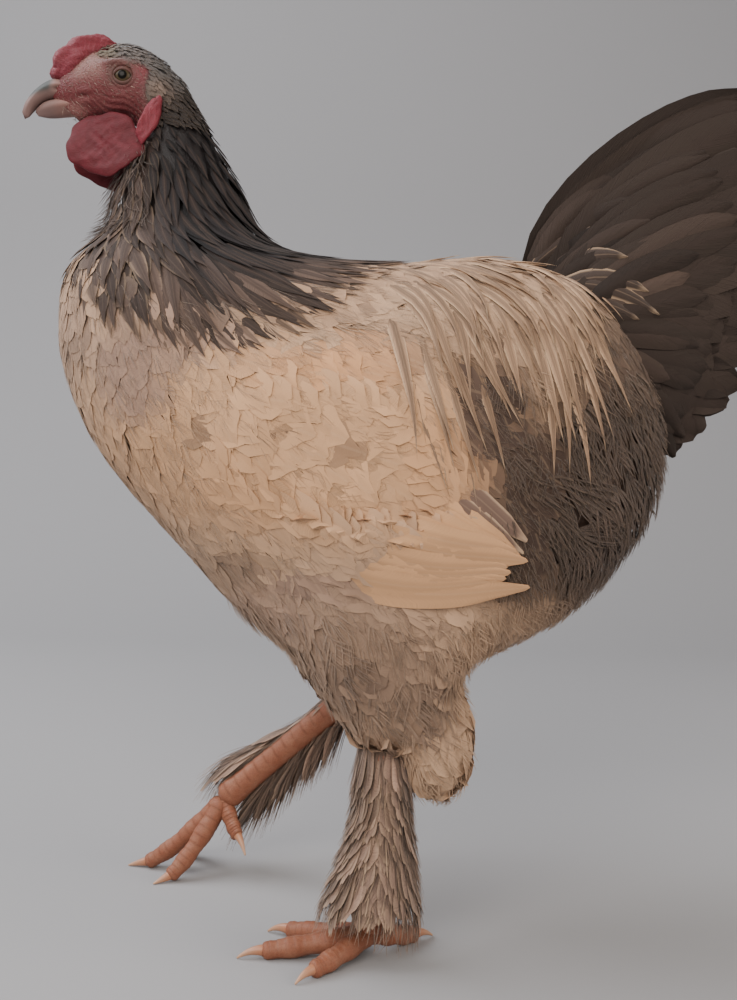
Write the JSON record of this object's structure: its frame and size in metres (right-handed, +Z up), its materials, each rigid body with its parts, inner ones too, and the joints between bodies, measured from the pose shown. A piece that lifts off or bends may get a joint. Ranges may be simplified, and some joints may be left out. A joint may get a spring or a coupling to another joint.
{
  "type": "brahma chicken",
  "caption": "Life-size young brahma cockerel in a walking stance, with pea comb, wattles, hackle, saddle, folded wings, fanned tail and feathered shanks and toes.",
  "frame": {"origin": "centre of the bounding box on the floor plane under the bird", "axes": "+Z up, -X forward along the beak, -Y to the bird's left side"},
  "size_m": [0.5538, 0.2565, 0.6119],
  "materials": {
    "breast_feathers": "matte",
    "hackle_feathers": "matte",
    "wing_feathers": "matte",
    "tail_feathers": "matte",
    "thigh_fluff": "matte",
    "face_skin": "satin",
    "comb_skin": "satin",
    "shank_skin": "satin",
    "horn": "satin",
    "eye": "gloss"
  },
  "bodies": {
    "root": {"torso": "breast_feathers", "neck": "hackle_feathers", "head": "face_skin", "eye_left": "eye", "eye_right": "eye", "beak_upper": "horn", "beak_lower": "horn", "comb": "comb_skin", "wattle_left": "comb_skin", "wattle_right": "comb_skin", "earlobe_left": "comb_skin", "earlobe_right": "comb_skin", "wing_left": "wing_feathers", "wing_right": "wing_feathers", "tail": "tail_feathers", "thigh_left": "thigh_fluff", "thigh_right": "thigh_fluff", "shank_left": "shank_skin", "shank_right": "shank_skin", "toe_inner_left": "shank_skin", "toe_middle_left": "shank_skin", "toe_outer_left": "shank_skin", "toe_back_left": "shank_skin", "toe_inner_right": "shank_skin", "toe_middle_right": "shank_skin", "toe_outer_right": "shank_skin", "toe_back_right": "shank_skin", "claw_inner_left": "horn", "claw_middle_left": "horn", "claw_outer_left": "horn", "claw_back_left": "horn", "claw_inner_right": "horn", "claw_middle_right": "horn", "claw_outer_right": "horn", "claw_back_right": "horn"}
  },
  "joints": []
}
